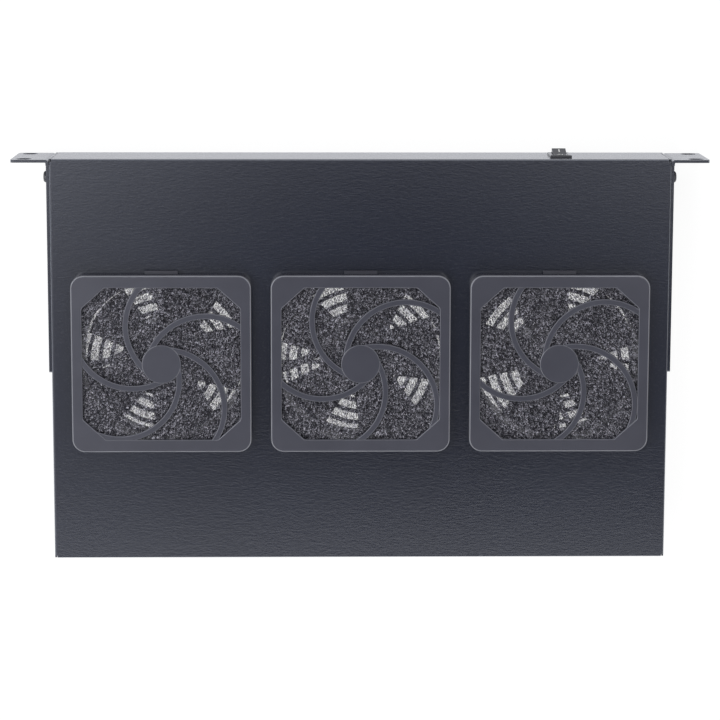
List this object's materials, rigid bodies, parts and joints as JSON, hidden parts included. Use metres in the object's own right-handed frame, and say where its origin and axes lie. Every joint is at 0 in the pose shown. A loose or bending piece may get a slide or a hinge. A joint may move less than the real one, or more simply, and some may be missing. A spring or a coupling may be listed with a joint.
{
  "type": "rack fan tray",
  "caption": "Rack fan tray: bent steel tray with ear brackets, axial fans behind clipped foam filter covers with spiral arms, a rocker switch and a mains inlet.",
  "frame": {"origin": "centre of the four rack slots, on the front plane of the ears", "axes": "+Z out of the filter face, -Y out of the front panel, +X along the panel towards the ear farther from the switch. The tray lies filters up; in a rack it is usually turned over about X or Y, filters down"},
  "size_m": [0.4826, 0.2914, 0.0529],
  "materials": {
    "tray_paint": "fine leather-texture powder coat, dark blue-grey",
    "zinc_steel": "zinc plated",
    "black_screw": "black oxide steel",
    "fan_casting": "die-cast, black painted",
    "rotor_plastic": "black moulded",
    "steel": "ground",
    "lamination": "laminated core with windings",
    "guard_plastic": "satin moulded, dark grey",
    "foam": "reticulated open-cell foam",
    "insulator": "black moulded",
    "switch_plastic": "black moulded",
    "contact": "tinned"
  },
  "bodies": {
    "chassis": {"tray_shell": "tray_paint", "ear_bracket_right": "tray_paint", "ear_bracket_left": "tray_paint", "bracket_front_screws": "black_screw", "bracket_rear_screws": "black_screw", "bracket_nuts": "zinc_steel", "fan_terminal_blocks": "insulator", "fan_terminals": "contact", "fan_screws": "black_screw", "fan_nuts": "zinc_steel", "switch_housing": "switch_plastic", "switch_terminals": "contact", "inlet_body": "insulator", "inlet_pins": "contact", "inlet_screws": "zinc_steel", "inlet_nuts": "zinc_steel", "earth_stud": "zinc_steel", "earth_nut": "zinc_steel", "fan_frame_right": "fan_casting", "fan_bearing_right": "steel", "fan_stator_right": "lamination", "filter_base_right": "guard_plastic", "fan_frame_centre": "fan_casting", "fan_bearing_centre": "steel", "fan_stator_centre": "lamination", "filter_base_centre": "guard_plastic", "fan_frame_left": "fan_casting", "fan_bearing_left": "steel", "fan_stator_left": "lamination", "filter_base_left": "guard_plastic"},
    "rotor_right": {"fan_rotor_right": "rotor_plastic", "fan_shaft_right": "steel"},
    "cover_right": {"filter_cover_right": "guard_plastic", "filter_foam_right": "foam"},
    "rotor_centre": {"fan_rotor_centre": "rotor_plastic", "fan_shaft_centre": "steel"},
    "cover_centre": {"filter_cover_centre": "guard_plastic", "filter_foam_centre": "foam"},
    "rotor_left": {"fan_rotor_left": "rotor_plastic", "fan_shaft_left": "steel"},
    "cover_left": {"filter_cover_left": "guard_plastic", "filter_foam_left": "foam"},
    "rocker": {"switch_rocker": "switch_plastic"}
  },
  "joints": [
    {"name": "fan_spin_right", "type": "hinge", "parent": "chassis", "child": "rotor_right", "pos_m": [0.138, 0.1415, 0], "axis": [0, 0, 1], "continuous": true},
    {"name": "fan_spin_centre", "type": "hinge", "parent": "chassis", "child": "rotor_centre", "pos_m": [0, 0.1415, 0], "axis": [0, 0, 1], "continuous": true},
    {"name": "fan_spin_left", "type": "hinge", "parent": "chassis", "child": "rotor_left", "pos_m": [-0.138, 0.1415, 0], "axis": [0, 0, 1], "continuous": true},
    {"name": "cover_lift_right", "type": "slide", "parent": "chassis", "child": "cover_right", "axis": [0, 0, 1], "range_m": [0, 0.03]},
    {"name": "cover_lift_centre", "type": "slide", "parent": "chassis", "child": "cover_centre", "axis": [0, 0, 1], "range_m": [0, 0.03]},
    {"name": "cover_lift_left", "type": "slide", "parent": "chassis", "child": "cover_left", "axis": [0, 0, 1], "range_m": [0, 0.03]},
    {"name": "switch_rock", "type": "hinge", "parent": "chassis", "child": "rocker", "pos_m": [-0.1395, 0.0004, 0], "axis": [1, 0, 0], "range_deg": [0, 24]}
  ]
}
